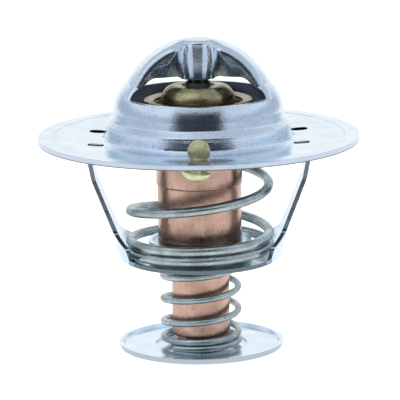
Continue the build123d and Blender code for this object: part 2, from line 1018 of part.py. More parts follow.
with BuildPart() as jiggle_pin:
    with BuildSketch(Plane.XZ):
        with Locations((0, coin_z)):
            Circle(vent_coin_r)
    extrude(amount=vent_coin_thickness / 2, both=True)
    with BuildSketch(Plane.XY.offset(shaft_low_z)):
        Circle(vent_shaft_r)
    extrude(amount=shaft_top_z - shaft_low_z)
    with BuildSketch(Plane.XZ):
        with BuildLine():
            cheek = Polyline(
                (0, bowl_top_z),
                (vent_bowl_r, bowl_top_z),
                (vent_bowl_r, bowl_top_z - vent_bowl_cheek),
            )
            belly = RadiusArc(cheek @ 1, (0, bowl_low_z), belly_r)
            Line(belly @ 1, cheek @ 0)
        make_face()
    revolve(axis=Axis.Z)
pin_axis = Axis((0, 0, coin_z), (0, 1, 0))
jiggle_pin.part = jiggle_pin.part.rotate(pin_axis, vent_tilt).moved(Location((0, vent_y, 0)))
jiggle_pin.part.label = "jiggle_pin"
export_step(jiggle_pin.part, "parts/jiggle_pin.step")
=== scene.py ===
# %% [markdown]
# # An engine thermostat in a white light tent
#
# This thermostat is a small machine of pressed steel, drawn copper and wound wire. All of it is
# rigid, so the CAD model already holds its true shapes. What Blender adds is the finish of each
# metal, and the light that makes the metal readable. Lengths are in metres.

import math

import bmesh
import bpy
from mathutils import Euler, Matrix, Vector


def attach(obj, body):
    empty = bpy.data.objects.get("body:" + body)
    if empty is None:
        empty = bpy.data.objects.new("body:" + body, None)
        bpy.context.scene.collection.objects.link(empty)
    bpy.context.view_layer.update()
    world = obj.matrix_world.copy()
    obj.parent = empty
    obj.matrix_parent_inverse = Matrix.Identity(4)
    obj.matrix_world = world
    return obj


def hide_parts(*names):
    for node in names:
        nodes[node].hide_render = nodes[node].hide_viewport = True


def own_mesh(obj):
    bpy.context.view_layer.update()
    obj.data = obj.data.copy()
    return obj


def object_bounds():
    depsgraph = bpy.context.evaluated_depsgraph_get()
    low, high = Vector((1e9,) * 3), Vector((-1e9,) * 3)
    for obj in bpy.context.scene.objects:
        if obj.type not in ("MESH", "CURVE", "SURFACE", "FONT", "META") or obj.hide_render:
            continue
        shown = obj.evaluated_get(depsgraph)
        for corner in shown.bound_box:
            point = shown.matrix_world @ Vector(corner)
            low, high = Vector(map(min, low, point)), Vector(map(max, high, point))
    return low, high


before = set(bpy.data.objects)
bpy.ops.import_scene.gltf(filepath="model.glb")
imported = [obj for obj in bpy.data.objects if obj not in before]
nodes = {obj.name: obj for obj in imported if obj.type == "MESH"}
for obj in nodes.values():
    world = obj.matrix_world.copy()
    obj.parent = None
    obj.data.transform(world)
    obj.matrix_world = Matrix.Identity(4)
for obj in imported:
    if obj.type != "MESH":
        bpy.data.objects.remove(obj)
cad_low, cad_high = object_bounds()
print("CAD box:", [round(v, 5) for v in cad_low], [round(v, 5) for v in cad_high])

# %% [markdown]
# ## The camera
#
# Metal is judged by what it mirrors, so the camera comes before any finish. The flange reads as
# an ellipse about a fifth as high as it is wide, which puts the eye some twelve degrees above
# it. A long lens from over half a metre away keeps the perspective as gentle as a catalogue
# picture's. The real thing stood slightly out of level, and a small roll of the camera does that
# without moving the part.

# %% Camera
camera_distance = 0.5738
camera_height = 0.1088
camera_pitch = math.radians(11.82)
camera_roll = math.radians(0.78)
sensor_width_mm = 36
image_size = 400
focal_in_pixels = 3482
axis_pixel_offset = -0.5

lens_mm = sensor_width_mm * focal_in_pixels / image_size
side_step = -axis_pixel_offset / focal_in_pixels * camera_distance

camera_data = bpy.data.cameras.new("camera")
camera_data.sensor_width = sensor_width_mm
camera_data.lens = lens_mm
camera_data.clip_start = 0.01
camera_data.clip_end = 20
camera = bpy.data.objects.new("camera", camera_data)
bpy.context.collection.objects.link(camera)
camera.location = (side_step, -camera_distance, camera_height)
look = Euler((math.pi / 2 - camera_pitch, 0, 0)).to_matrix()
camera.rotation_euler = (look @ Euler((0, 0, -camera_roll)).to_matrix()).to_euler()
bpy.context.scene.camera = camera
print("lens", round(lens_mm, 1), "mm")

# %% [markdown]
# ## Helpers for shader nodes
#
# Every shader below is a small net of nodes, and the same few steps come back in all of them: a
# calculation with one or two values, a value stretched from one range to another, two colours
# mixed by a mask, and the place on the piece split into its three parts. A helper for each keeps
# the nets short enough to read.

# %% Shader helpers


def math_node(net, operation, first, second=None):
    """A math node whose values are sockets or plain numbers."""
    node = net.nodes.new("ShaderNodeMath")
    node.operation = operation
    for slot_number, value in enumerate((first, second)):
        if value is None:
            continue
        if isinstance(value, (int, float)):
            node.inputs[slot_number].default_value = value
        else:
            net.links.new(value, node.inputs[slot_number])
    return node.outputs[0]


def spread(net, value, low, high, out_low=0.0, out_high=1.0, soft=False):
    """Stretches part of a value's range, clamped at both ends."""
    node = net.nodes.new("ShaderNodeMapRange")
    if soft:
        node.interpolation_type = "SMOOTHSTEP"
    node.inputs["From Min"].default_value = low
    node.inputs["From Max"].default_value = high
    node.inputs["To Min"].default_value = out_low
    node.inputs["To Max"].default_value = out_high
    net.links.new(value, node.inputs["Value"])
    return node.outputs["Result"]


def mix_colour(net, mask, first, second):
    """Mixes two colours or colour sockets by a mask."""
    node = net.nodes.new("ShaderNodeMix")
    node.data_type = "RGBA"
    net.links.new(mask, node.inputs["Factor"])
    for name, value in (("A", first), ("B", second)):
        socket = [s for s in node.inputs if s.name == name and s.type == "RGBA"][0]
        if isinstance(value, tuple):
            socket.default_value = (*value, 1)
        else:
            net.links.new(value, socket)
    return [s for s in node.outputs if s.type == "RGBA"][0]


def split_vector(net, vector):
    """The X, Y and Z of a vector socket."""
    node = net.nodes.new("ShaderNodeSeparateXYZ")
    net.links.new(vector, node.inputs[0])
    return node.outputs["X"], node.outputs["Y"], node.outputs["Z"]


def object_place(net):
    """Object coordinates, which stay put on a piece when it moves."""
    return net.nodes.new("ShaderNodeTexCoord").outputs["Object"]


def surface_normal(net):
    """The way the surface faces."""
    return net.nodes.new("ShaderNodeNewGeometry").outputs["Normal"]


def level_length(net, x, y):
    """The length of X and Y together, which for a place is its distance from the axis."""
    square_x = math_node(net, "MULTIPLY", x, x)
    square_y = math_node(net, "MULTIPLY", y, y)
    return math_node(net, "SQRT", math_node(net, "ADD", square_x, square_y))


# %% [markdown]
# The room's own materials mix whole shaders, so they have helpers too. A bare material has nothing
# but an output, and a mix feeds that output with one shader or the other.

# %% Helpers for the room's materials


def bare_material(name):
    """A material with an output node and nothing else."""
    material = bpy.data.materials.new(name)
    material.use_nodes = True
    material.node_tree.nodes.clear()
    return material, material.node_tree, material.node_tree.nodes.new("ShaderNodeOutputMaterial")


def mix_shaders(net, mask, first, second, output):
    """Feeds an output with the first shader where a mask is 0, and the second where it is 1."""
    mix = net.nodes.new("ShaderNodeMixShader")
    net.links.new(mask, mix.inputs["Fac"])
    net.links.new(first, mix.inputs[1])
    net.links.new(second, mix.inputs[2])
    net.links.new(mix.outputs[0], output.inputs["Surface"])


# %% [markdown]
# ## The white room
#
# The part stands in a white light tent, so the world is plain white to the camera and in
# reflections. Light that falls on the part from all sides is a little weaker, so that pale finishes
# keep their tone.

# %% World
fill_colour = (0.95, 0.97, 1.0)
fill_strength = 0.75

world = bpy.data.worlds.new("light_tent")
bpy.context.scene.world = world
world.use_nodes = True
net = world.node_tree
net.nodes.clear()
world_output = net.nodes.new("ShaderNodeOutputWorld")
seen = net.nodes.new("ShaderNodeBackground")
seen.inputs["Color"].default_value = (1, 1, 1, 1)
seen.inputs["Strength"].default_value = 1
fill = net.nodes.new("ShaderNodeBackground")
fill.inputs["Color"].default_value = (*fill_colour, 1)
fill.inputs["Strength"].default_value = fill_strength
path = net.nodes.new("ShaderNodeLightPath")
sharp = math_node(net, "MAXIMUM", path.outputs["Is Camera Ray"], path.outputs["Is Glossy Ray"])
sharp = math_node(net, "MAXIMUM", sharp, path.outputs["Is Transmission Ray"])
mix_shaders(net, sharp, fill.outputs[0], seen.outputs[0], world_output)
print("fill light", fill_strength)

# %% [markdown]
# The floor, the walls and a card of the room are meshes from bmesh operators. One helper makes an
# object of such a mesh, and another hides an object from all but reflections.

# %% Helpers for the room's objects


def room_object(name, mesh):
    """An object of the room, made from a bmesh."""
    data = bpy.data.meshes.new(name)
    mesh.to_mesh(data)
    mesh.free()
    thing = bpy.data.objects.new(name, data)
    bpy.context.collection.objects.link(thing)
    return thing


def show_only_in_mirrors(thing):
    """Hides an object from the camera and from all light but reflections."""
    thing.visible_camera = False
    thing.visible_diffuse = False
    thing.visible_shadow = False
    thing.visible_transmission = False
    thing.visible_volume_scatter = False


# %% [markdown]
# ## The floor
#
# The valve slides down 8.5 mm when it opens, and the disc under it must not sink into the floor.
# So the floor lies just below the lowest place that the disc can reach. It is white paper, which
# the camera sees as white wherever no shadow falls.

# %% Floor
valve_travel = 0.0085
floor_clearance = 0.0004
floor_half = 6.0
floor_z = cad_low.z - valve_travel - floor_clearance

floor_mesh = bmesh.new()
bmesh.ops.create_grid(floor_mesh, x_segments=1, y_segments=1, size=floor_half)
bmesh.ops.translate(floor_mesh, verts=floor_mesh.verts, vec=(0, 0, floor_z))
floor = room_object("floor", floor_mesh)
print("floor at z", round(floor_z, 5))

# %% [markdown]
# The lit paper is brighter than white. In a mirror that would swallow the edges of the legs, so
# reflections see the paper as hardly more than white.

# %% Paper
paper_colour = (0.9, 0.9, 0.9)
paper_roughness = 0.9
paper_glow = 0.62
paper_in_mirrors = (1.05, 1.06, 1.08)

paper = bpy.data.materials.new("white_paper")
paper.use_nodes = True
net = paper.node_tree
paper_output = net.nodes["Material Output"]
paper_shader = net.nodes["Principled BSDF"]
paper_shader.inputs["Base Color"].default_value = (*paper_colour, 1)
paper_shader.inputs["Roughness"].default_value = paper_roughness
paper_shader.inputs["Specular IOR Level"].default_value = 0.0
paper_shader.inputs["Emission Color"].default_value = (1, 1, 1, 1)
paper_shader.inputs["Emission Strength"].default_value = paper_glow
mirrored = net.nodes.new("ShaderNodeEmission")
mirrored.inputs["Color"].default_value = (*paper_in_mirrors, 1)
in_mirrors = net.nodes.new("ShaderNodeLightPath").outputs["Is Glossy Ray"]
mix_shaders(net, in_mirrors, paper_shader.outputs[0], mirrored.outputs[0], paper_output)
floor.data.materials.append(paper)
print("paper", paper_colour, "in mirrors", paper_in_mirrors)

# %% [markdown]
# ## What the metal mirrors
#
# A bright metal has hardly any colour of its own: it shows the room. In a light tent the wall
# behind the part is white, the roof and the side walls are greyer, and the camera looks in
# through a gap with the dark studio behind it. Low down the side walls are in shade, above a floor
# that is bright again. These tones draw the whole of the flange and the dome. The tent is a sphere
# that only reflections can see. Its paint depends on nothing but the direction from the middle, so
# soft steps between the tones are easy to place.

# %% Tent
tent_radius = 0.45
back_tone = (1.0, 1.0, 1.0)
side_tone = (0.76, 0.79, 0.89)
shade_tone = (0.48, 0.52, 0.61)
roof_tone = (0.54, 0.56, 0.64)
gap_tone = (0.03, 0.035, 0.045)

tent_mesh = bmesh.new()
bmesh.ops.create_uvsphere(tent_mesh, u_segments=64, v_segments=32, radius=tent_radius)
bmesh.ops.reverse_faces(tent_mesh, faces=tent_mesh.faces)
tent = room_object("tent", tent_mesh)
show_only_in_mirrors(tent)
print("tent of radius", tent_radius, "m")

# %% [markdown]
# The paint starts from the direction's three parts. Seen from above, the share that points away
# from the camera tells the back wall from the side walls and from the gap, and the share that
# points up tells the roof. The white floor reaches far round to the sides, and the back wall does
# not, so the two have their own limits. A tone comes in softly between two limits, and the first
# limit is where it is still absent.

# %% Directions in the tent
floor_round = (-0.1, 0.75)
wall_round = (0.70, 0.95)
floor_edge = (-0.04, 0.04)
shade_top = (0.36, 0.22)
roof_start = (0.35, 0.72)
gap_round = (-0.74, -0.92)
gap_bottom = (-0.22, -0.12)
gap_top = (0.62, 0.44)

cloth, net, cloth_output = bare_material("tent_cloth")
unit = net.nodes.new("ShaderNodeVectorMath")
unit.operation = "NORMALIZE"
net.links.new(object_place(net), unit.inputs[0])
across_x, across_y, upward = split_vector(net, unit.outputs[0])
behind = math_node(net, "DIVIDE", across_y, level_length(net, across_x, across_y))

white_floor = spread(net, behind, *floor_round, soft=True)
white_wall = spread(net, behind, *wall_round, soft=True)
above_floor = spread(net, upward, *floor_edge, soft=True)
below_lamps = spread(net, upward, *shade_top, soft=True)
shade = math_node(net, "MULTIPLY", above_floor, below_lamps)
roof = spread(net, upward, *roof_start, soft=True)
gap_across = spread(net, behind, *gap_round, soft=True)
gap_below = spread(net, upward, *gap_bottom, soft=True)
gap_above = spread(net, upward, *gap_top, soft=True)
gap = math_node(net, "MULTIPLY", gap_across, math_node(net, "MULTIPLY", gap_below, gap_above))

# %% [markdown]
# The tones then go over each other: the wall with its shade, the bright floor under it, the roof,
# and last the gap, which cuts through all of them.

# %% Tent paint
shaded_wall = mix_colour(net, shade, side_tone, shade_tone)
low_paint = mix_colour(net, white_floor, side_tone, back_tone)
high_paint = mix_colour(net, white_wall, shaded_wall, back_tone)
paint = mix_colour(net, above_floor, low_paint, high_paint)
paint = mix_colour(net, roof, paint, roof_tone)
paint = mix_colour(net, gap, paint, gap_tone)
cloth_glow = net.nodes.new("ShaderNodeEmission")
net.links.new(paint, cloth_glow.inputs["Color"])
net.links.new(cloth_glow.outputs[0], cloth_output.inputs["Surface"])
tent.data.materials.append(cloth)
print("tent painted with", len(net.nodes), "nodes")

# %% [markdown]
# The nose under the crown is almost upright, and it looks down over the rim at what stands just in
# front of the part. A narrow apron of pale card goes round the front there. Spin draws its lower
# edge from one vertex, and that edge is extruded upwards. Only reflections can see it.

# %% Apron
apron_distance = 0.032
apron_half_angle = math.radians(100)
apron_steps = 48
apron_low = 0.0006
apron_height = 0.0062

apron_mesh = bmesh.new()
apron_start = apron_mesh.verts.new(
    (
        -apron_distance * math.sin(apron_half_angle),
        -apron_distance * math.cos(apron_half_angle),
        apron_low,
    )
)
bmesh.ops.spin(
    apron_mesh,
    geom=[apron_start],
    cent=(0, 0, 0),
    axis=(0, 0, 1),
    angle=2 * apron_half_angle,
    steps=apron_steps,
)
raised = bmesh.ops.extrude_edge_only(apron_mesh, edges=apron_mesh.edges[:])
raised_verts = [v for v in raised["geom"] if isinstance(v, bmesh.types.BMVert)]
bmesh.ops.translate(apron_mesh, verts=raised_verts, vec=(0, 0, apron_height))
apron = room_object("apron", apron_mesh)
show_only_in_mirrors(apron)
print("apron at", apron_distance, "m")

# %% [markdown]
# The card's middle is black below the camera, and it gives the nose its dark stripe between two
# soft flanks. The card's ends fade out, so that no hard corner shows on the dome. Both follow the
# angle from the front, through its cosine.

# %% Card of the apron
apron_tone = (0.60, 0.64, 0.74)
black_until = math.cos(math.radians(28))
pale_from = math.cos(math.radians(38))
fade_from = math.cos(math.radians(80))
gone_from = math.cos(math.radians(98))

card, net, card_output = bare_material("apron_card")
_, card_y, _ = split_vector(net, object_place(net))
forward = math_node(net, "DIVIDE", card_y, -apron_distance)
black_part = spread(net, forward, pale_from, black_until, soft=True)
solid_part = spread(net, forward, gone_from, fade_from, soft=True)
card_glow = net.nodes.new("ShaderNodeEmission")
net.links.new(mix_colour(net, black_part, apron_tone, gap_tone), card_glow.inputs["Color"])
clear = net.nodes.new("ShaderNodeBsdfTransparent")
mix_shaders(net, solid_part, clear.outputs[0], card_glow.outputs[0], card_output)
apron.data.materials.append(card)
print("card of", len(net.nodes), "nodes")

# %% [markdown]
# ## Lamps
#
# The tent gives the mirrored tones, and two soft lamps above add the highlights on the springs,
# the copper and the crown. They are large for so small a part, so no shadow has a hard edge.

# %% Lamps
lamps = [
    ("key", (-0.30, -0.35, 0.60), 0.5, 2.6, (1.0, 1.0, 1.0)),
    ("rim", (0.45, 0.15, 0.35), 0.4, 1.2, (0.97, 0.99, 1.0)),
]
for name, place, size, power, colour in lamps:
    lamp_data = bpy.data.lights.new(name, "AREA")
    lamp_data.shape = "SQUARE"
    lamp_data.size = size
    lamp_data.energy = power
    lamp_data.color = colour
    lamp = bpy.data.objects.new(name, lamp_data)
    bpy.context.collection.objects.link(lamp)
    lamp.location = place
    lamp.rotation_euler = (-Vector(place)).to_track_quat("-Z", "Y").to_euler()
    print("lamp", name, power, "W")

# %% [markdown]
# ## Finishes
#
# Each finish starts as a Principled shader with its own numbers. What varies over the surface
# comes from noise on Object coordinates, so it stays put when the piece moves. An effect that
# several metals share is a node group, built once and placed in each of them.

# %% Group helpers


def new_group(name, numbers, outputs):
    """A shader node group with number inputs and the named outputs."""
    group = bpy.data.node_groups.new(name, "ShaderNodeTree")
    for label, value in numbers:
        socket = group.interface.new_socket(label, in_out="INPUT", socket_type="NodeSocketFloat")
        socket.default_value = value
    for label, kind in outputs:
        group.interface.new_socket(label, in_out="OUTPUT", socket_type=kind)
    start = group.nodes.new("NodeGroupInput")
    end = group.nodes.new("NodeGroupOutput")
    print("group", name)
    return group, start, end


def place_group(net, group, values):
    """Places a group with values for its inputs, and gives its outputs."""
    node = net.nodes.new("ShaderNodeGroup")
    node.node_tree = group
    for label, value in values.items():
        node.inputs[label].default_value = value
    return node.outputs


# %% [markdown]
# ### Bare edges
#
# Where a sheet was cut, its edge is rounded by about a tenth of a millimetre and catches the
# light. The Bevel node rounds the normal there without touching the mesh. How far that rounded
# normal has turned from the true one also tells where the edges are, which gives a mask for wear.
# The cosine of the turn is 1 where the surface is flat.

# %% Edge group
edge_starts = 0.995
edge_full = 0.8

edge_group, edge_in, edge_out = new_group(
    "cut_edge",
    [("Width", 0.0001)],
    [("Normal", "NodeSocketVector"), ("Mask", "NodeSocketFloat")],
)
net = edge_group
bevel = net.nodes.new("ShaderNodeBevel")
bevel.samples = 6
net.links.new(edge_in.outputs["Width"], bevel.inputs["Radius"])
turn = net.nodes.new("ShaderNodeVectorMath")
turn.operation = "DOT_PRODUCT"
net.links.new(bevel.outputs["Normal"], turn.inputs[0])
net.links.new(surface_normal(net), turn.inputs[1])
turned = spread(net, turn.outputs["Value"], edge_starts, edge_full)
net.links.new(bevel.outputs["Normal"], edge_out.inputs["Normal"])
net.links.new(turned, edge_out.inputs["Mask"])

# %% [markdown]
# ### Sheared sheet
#
# A die shears the zinc steel, and the cut through the sheet keeps a tone of its own; on the frame
# that tone is deepened with painted shade. Those cuts are the rims of the flange, the pan and the
# disc, and the two long sides of each leg. A rim is found by its distance from the axis together
# with a level normal, and a leg's side by a normal that points round the axis.

# %% Sheared group
rim_fade = (1.0, 0.7)
level_normal = (0.6, 0.35)
side_normal = (0.6, 0.85)

sheared_group, sheared_in, sheared_out = new_group(
    "sheared_sheet",
    [("Rim Radius", 0.027), ("Rim Band", 0.0002), ("Sides", 0.0)],
    [("Mask", "NodeSocketFloat")],
)
net = sheared_group
spot_x, spot_y, _ = split_vector(net, object_place(net))
normal_x, normal_y, normal_z = split_vector(net, surface_normal(net))
radius = level_length(net, spot_x, spot_y)

from_rim = math_node(net, "SUBTRACT", radius, sheared_in.outputs["Rim Radius"])
from_rim = math_node(net, "ABSOLUTE", from_rim)
from_rim = math_node(net, "DIVIDE", from_rim, sheared_in.outputs["Rim Band"])
on_rim = spread(net, from_rim, *rim_fade)
facing_out = spread(net, math_node(net, "ABSOLUTE", normal_z), *level_normal)
rim_mask = math_node(net, "MULTIPLY", on_rim, facing_out)

round_x = math_node(net, "MULTIPLY", normal_x, spot_y)
round_y = math_node(net, "MULTIPLY", normal_y, spot_x)
turning = math_node(net, "DIVIDE", math_node(net, "SUBTRACT", round_y, round_x), radius)
side_mask = spread(net, math_node(net, "ABSOLUTE", turning), *side_normal)
side_mask = math_node(net, "MULTIPLY", side_mask, sheared_in.outputs["Sides"])
both = math_node(net, "MAXIMUM", rim_mask, side_mask)
net.links.new(both, sheared_out.inputs["Mask"])

# %% [markdown]
# ### A band round the axis
#
# Some tones belong to one place only, such as the painted shade at the step in the rim or the
# painted reflection on the rolled lip of the cup.
# They are rings, so a range of radius and a range of height are enough to mark them.

# %% Band group
band_edge = 0.00004

band_group, band_in, band_out = new_group(
    "ring_band",
    [("Inner", 0.0), ("Outer", 0.01), ("Low", 0.0), ("High", 0.01)],
    [("Mask", "NodeSocketFloat")],
)
net = band_group
spot_x, spot_y, spot_z = split_vector(net, object_place(net))
radius = level_length(net, spot_x, spot_y)
within = []
for value, low_name, high_name in ((radius, "Inner", "Outer"), (spot_z, "Low", "High")):
    past_low = math_node(net, "SUBTRACT", value, band_in.outputs[low_name])
    before_high = math_node(net, "SUBTRACT", band_in.outputs[high_name], value)
    nearest = math_node(net, "MINIMUM", past_low, before_high)
    within.append(spread(net, nearest, -band_edge, band_edge))
net.links.new(math_node(net, "MULTIPLY", *within), band_out.inputs["Mask"])

# %% [markdown]
# ### The walls of the slits
#
# The four slits in the flange are cut clean through, and hardly any light gets in, so their walls
# get painted shade. They are found by a box on each side of the axis, above the sheet's underside,
# and by a normal that is nowhere near upright.

# %% Slit group
slit_middle_x = 0.0171
slit_half_x = 0.0015
slit_middle_y = 0.00605
slit_half_y = 0.0014
slit_under_z = -0.0015
slit_normal = (0.93, 0.8)

slit_group, _, slit_out = new_group("slit_walls", [], [("Mask", "NodeSocketFloat")])
net = slit_group
spot_x, spot_y, spot_z = split_vector(net, object_place(net))
_, _, normal_z = split_vector(net, surface_normal(net))
walls = spread(net, math_node(net, "ABSOLUTE", normal_z), *slit_normal)
for value, middle, half in (
    (spot_x, slit_middle_x, slit_half_x),
    (spot_y, slit_middle_y, slit_half_y),
):
    off_middle = math_node(net, "SUBTRACT", math_node(net, "ABSOLUTE", value), middle)
    near = math_node(net, "LESS_THAN", math_node(net, "ABSOLUTE", off_middle), half)
    walls = math_node(net, "MULTIPLY", walls, near)
in_sheet = math_node(net, "GREATER_THAN", spot_z, slit_under_z)
net.links.new(math_node(net, "MULTIPLY", walls, in_sheet), slit_out.inputs["Mask"])

# %% [markdown]
# ### Mottle, specks and working marks
#
# Handled metal is never even. A large soft noise makes cloudy patches and a small one makes
# specks.

# %% Surface group
surface_sizes = ("Cloud Size", "Speck Size", "Mark Size")

surface_group, surface_in, surface_out = new_group(
    "handled_metal",
    list(zip(surface_sizes, (0.006, 0.0004, 0.0002))),
    [
        ("Clouds", "NodeSocketFloat"),
        ("Specks", "NodeSocketFloat"),
        ("Rings", "NodeSocketFloat"),
        ("Streaks", "NodeSocketFloat"),
    ],
)
net = surface_group
place = object_place(net)


def group_noise(size_name, vector, detail, roughness):
    """A noise inside the surface group, whose size comes from one of the group's inputs."""
    noise = surface_group.nodes.new("ShaderNodeTexNoise")
    noise.inputs["Detail"].default_value = detail
    noise.inputs["Roughness"].default_value = roughness
    scale = math_node(surface_group, "DIVIDE", 1.0, surface_in.outputs[size_name])
    surface_group.links.new(scale, noise.inputs["Scale"])
    surface_group.links.new(vector, noise.inputs["Vector"])
    return noise.outputs["Fac"]


clouds = group_noise("Cloud Size", place, 4, 0.55)
specks = group_noise("Speck Size", place, 2, 0.6)

# %% [markdown]
# Working marks are a noise on places that are squeezed one way. A lathe or a press leaves fine
# rings round the axis: the rings need the distance from the axis and the height, with only a trace
# of the rest. A drawing die leaves streaks along the axis: they keep X and Y and only a trace of
# the height.

# %% Rings and streaks
ring_turn_share = 0.03
streak_height_share = 0.04


def joined_vector(net, *parts):
    """A vector from its X, Y and Z."""
    node = net.nodes.new("ShaderNodeCombineXYZ")
    for name, part in zip("XYZ", parts):
        net.links.new(part, node.inputs[name])
    return node.outputs[0]


spot_x, spot_y, spot_z = split_vector(net, place)
slow_x = math_node(net, "MULTIPLY", spot_x, ring_turn_share)
slow_y = math_node(net, "MULTIPLY", spot_y, ring_turn_share)
slow_z = math_node(net, "MULTIPLY", spot_z, streak_height_share)
ring_x = math_node(net, "ADD", level_length(net, spot_x, spot_y), slow_x)
rings = group_noise("Mark Size", joined_vector(net, ring_x, slow_y, spot_z), 3, 0.7)
streaks = group_noise("Mark Size", joined_vector(net, spot_x, spot_y, slow_z), 3, 0.6)

for label, noise, low, high in (
    ("Clouds", clouds, 0.3, 0.7),
    ("Specks", specks, 0.58, 0.70),
    ("Rings", rings, 0.25, 0.75),
    ("Streaks", streaks, 0.3, 0.7),
):
    net.links.new(spread(net, noise, low, high), surface_out.inputs[label])
print("handled metal has", len(net.nodes), "nodes")

# %% [markdown]
# ### One recipe for the metals
#
# Every metal here mixes two tones by its clouds, darkens at its specks and takes another tone at
# its cut edges. Roughness follows the same clouds, so that dull patches are also less mirror-like,
# and a bump from the working marks and the clouds breaks up straight reflections.

# %% Metal recipe
mark_roughness = 0.06


def bump(net, height, distance, normal=None):
    """A bump of a height in metres, over another normal where one is given."""
    node = net.nodes.new("ShaderNodeBump")
    node.inputs["Distance"].default_value = distance
    net.links.new(height, node.inputs["Height"])
    if normal is not None:
        net.links.new(normal, node.inputs["Normal"])
    return node.outputs["Normal"]


def metal(
    name,
    light,
    dark,
    speck,
    edge,
    rough,
    sizes,
    bumps,
    edge_width=0.0001,
    speck_amount=1.0,
    marks="Rings",
):
    """A metal with two tones, specks, toned edges, uneven gloss and fine marks."""
    material = bpy.data.materials.new(name)
    material.use_nodes = True
    net = material.node_tree
    shader = net.nodes["Principled BSDF"]
    shader.inputs["Metallic"].default_value = 1.0

    surface = place_group(net, surface_group, dict(zip(surface_sizes, sizes)))
    edges = place_group(net, edge_group, {"Width": edge_width})

    tone = mix_colour(net, surface["Clouds"], dark, light)
    speckled = math_node(net, "MULTIPLY", surface["Specks"], speck_amount)
    tone = mix_colour(net, speckled, tone, speck)
    tone = mix_colour(net, edges["Mask"], tone, edge)
    net.links.new(tone, shader.inputs["Base Color"])

    rough_low, rough_high = rough
    roughness = spread(net, surface["Clouds"], 0.0, 1.0, rough_high, rough_low)
    mark_share = math_node(net, "MULTIPLY", surface[marks], mark_roughness)
    net.links.new(math_node(net, "ADD", roughness, mark_share), shader.inputs["Roughness"])

    mark_height, cloud_height = bumps
    fine = bump(net, surface[marks], mark_height, edges["Normal"])
    soft = bump(net, surface["Clouds"], cloud_height, fine)
    net.links.new(soft, shader.inputs["Normal"])
    print("metal", name)
    return material


# %% [markdown]
# A stronger tone over part of a metal, such as a dark cut, goes in after the recipe. It takes the
# link that already feeds the colour, and mixes the new tone over it.

# %% Tones over a part


def tint(material, mask, colour):
    """Lays a colour over what feeds a metal's Base Color, where a mask is on."""
    net = material.node_tree
    base = net.nodes["Principled BSDF"].inputs["Base Color"]
    below = base.links[0].from_socket
    net.links.new(mix_colour(net, mask, below, colour), base)


def ring_tint(material, colour, inner, outer, low, high):
    """Lays a colour over a ring round the axis, given by its radii and heights."""
    limits = {"Inner": inner, "Outer": outer, "Low": low, "High": high}
    tint(material, place_group(material.node_tree, band_group, limits)["Mask"], colour)


# %% [markdown]
# ### Zinc plate
#
# The flange, the lower frame and the disc are steel with a bright bluish zinc plate. Each gets its
# own copy of the finish, because the sheared rim lies at another radius on each, and the flange is
# the most specked. The frame's cuts are dark, a tone of their own deepened with painted shade. The
# flange's rim was coined after the cut and is pale, with a line of painted shade along its lower
# corner and a fainter line of painted shade at the step inside it. The disc's rim lies between the
# two. The walls of the slits are painted with shade, all but black.

# %% Zinc plate
cut_and_shade_tone = (0.16, 0.19, 0.22)
coined_tone = (0.58, 0.66, 0.76)
step_shade_tone = (0.58, 0.67, 0.77)
disc_rim_tone = (0.46, 0.52, 0.58)
slit_shade_tone = (0.012, 0.012, 0.014)


def zinc_plate(name, rim_radius, rim_band, sides, cut_tone, speck_amount):
    """Bright zinc with the cuts of one pressing in a tone of their own, on the frame deepened with
    painted shade.
    """
    material = metal(
        name,
        light=(0.79, 0.91, 0.99),
        dark=(0.67, 0.80, 0.92),
        speck=(0.30, 0.36, 0.44),
        edge=(0.86, 0.94, 1.0),
        rough=(0.09, 0.18),
        sizes=(0.0045, 0.00035, 0.00018),
        bumps=(0.000003, 0.00003),
        speck_amount=speck_amount,
    )
    values = {"Rim Radius": rim_radius, "Rim Band": rim_band, "Sides": sides}
    tint(material, place_group(material.node_tree, sheared_group, values)["Mask"], cut_tone)
    return material


flange_zinc = zinc_plate("flange_zinc", 0.0270, 0.00015, 0.0, coined_tone, 0.5)
# The frame's cuts are dark, a tone of their own deepened with painted shade.
frame_zinc = zinc_plate("frame_zinc", 0.01275, 0.00015, 1.0, cut_and_shade_tone, 0.25)
disc_zinc = zinc_plate("disc_zinc", 0.0139, 0.00025, 0.0, disc_rim_tone, 0.15)

# A line of painted shade along the lower corner of the flange's rim.
ring_tint(flange_zinc, cut_and_shade_tone, inner=0.0268, outer=0.0272, low=-0.00095, high=-0.00074)
# A fainter line of painted shade at the step inside the flange's rim.
ring_tint(flange_zinc, step_shade_tone, inner=0.02438, outer=0.02456, low=-0.0002, high=0.0001)
# Painted shade, all but black, on the walls of the slits.
tint(flange_zinc, place_group(flange_zinc.node_tree, slit_group, {})["Mask"], slit_shade_tone)

# %% [markdown]
# ### Steel wire, steel plate and coated steel
#
# The springs are oiled grey wire with a green cast. The valve plate is dark slate, the stem and
# its clip are plain, and the piston is hardened steel that was blackened.

